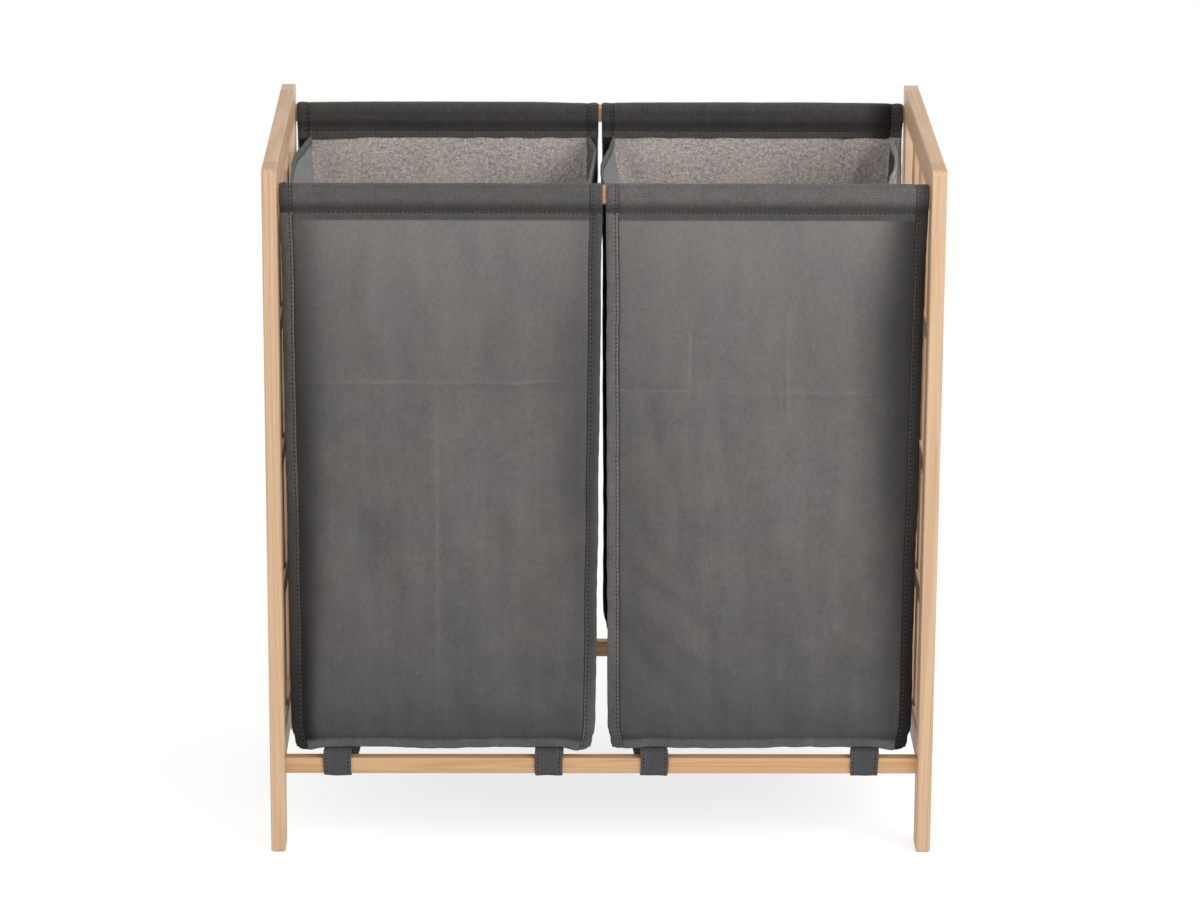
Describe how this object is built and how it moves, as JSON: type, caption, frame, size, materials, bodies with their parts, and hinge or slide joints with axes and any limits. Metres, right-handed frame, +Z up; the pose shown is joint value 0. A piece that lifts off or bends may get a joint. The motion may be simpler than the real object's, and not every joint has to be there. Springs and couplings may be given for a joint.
{
  "type": "laundry hamper with two bins",
  "caption": "Free-standing laundry hamper: a wooden frame with laddered sides holds cloth bins, hung side by side from sleeves on its top bars and tied to its bottom bars by loops.",
  "frame": {"origin": "on the floor, under the middle of the frame", "axes": "+X to the right as seen from the front, +Y to the rear, +Z up"},
  "size_m": [0.64, 0.38, 0.68],
  "materials": {
    "frame_wood": "satin lacquer",
    "bar_wood": "satin lacquer",
    "screw_steel": "zinc plated",
    "bag_cloth": "matte, embossed",
    "base_board": "matte hardboard"
  },
  "bodies": {
    "frame": {"left_front_leg": "frame_wood", "left_rear_leg": "frame_wood", "left_top_rail": "frame_wood", "left_bottom_rail": "frame_wood", "left_rung_1": "frame_wood", "left_rung_2": "frame_wood", "left_rung_3": "frame_wood", "left_slat_1": "frame_wood", "left_slat_2": "frame_wood", "left_slat_3": "frame_wood", "right_front_leg": "frame_wood", "right_rear_leg": "frame_wood", "right_top_rail": "frame_wood", "right_bottom_rail": "frame_wood", "right_rung_1": "frame_wood", "right_rung_2": "frame_wood", "right_rung_3": "frame_wood", "right_slat_1": "frame_wood", "right_slat_2": "frame_wood", "right_slat_3": "frame_wood", "front_top_bar": "bar_wood", "front_bottom_bar": "bar_wood", "rear_top_bar": "bar_wood", "rear_bottom_bar": "bar_wood", "left_front_top_screw": "screw_steel", "right_front_top_screw": "screw_steel", "left_front_bottom_screw": "screw_steel", "right_front_bottom_screw": "screw_steel", "left_rear_top_screw": "screw_steel", "right_rear_top_screw": "screw_steel", "left_rear_bottom_screw": "screw_steel", "right_rear_bottom_screw": "screw_steel"},
    "left_bag": {"left_bag_front_panel": "bag_cloth", "left_bag_rear_panel": "bag_cloth", "left_bag_left_gusset": "bag_cloth", "left_bag_right_gusset": "bag_cloth", "left_bag_base": "bag_cloth", "left_bag_base_board": "base_board", "left_bag_front_left_tab": "bag_cloth", "left_bag_rear_left_tab": "bag_cloth", "left_bag_front_right_tab": "bag_cloth", "left_bag_rear_right_tab": "bag_cloth"},
    "right_bag": {"right_bag_front_panel": "bag_cloth", "right_bag_rear_panel": "bag_cloth", "right_bag_left_gusset": "bag_cloth", "right_bag_right_gusset": "bag_cloth", "right_bag_base": "bag_cloth", "right_bag_base_board": "base_board", "right_bag_front_left_tab": "bag_cloth", "right_bag_rear_left_tab": "bag_cloth", "right_bag_front_right_tab": "bag_cloth", "right_bag_rear_right_tab": "bag_cloth"}
  },
  "joints": [
    {"name": "left_bag_slide", "type": "slide", "parent": "frame", "child": "left_bag", "axis": [1, 0, 0], "range_m": [-0.0015, 0.0014]},
    {"name": "right_bag_slide", "type": "slide", "parent": "frame", "child": "right_bag", "axis": [1, 0, 0], "range_m": [-0.0014, 0.0015]}
  ]
}
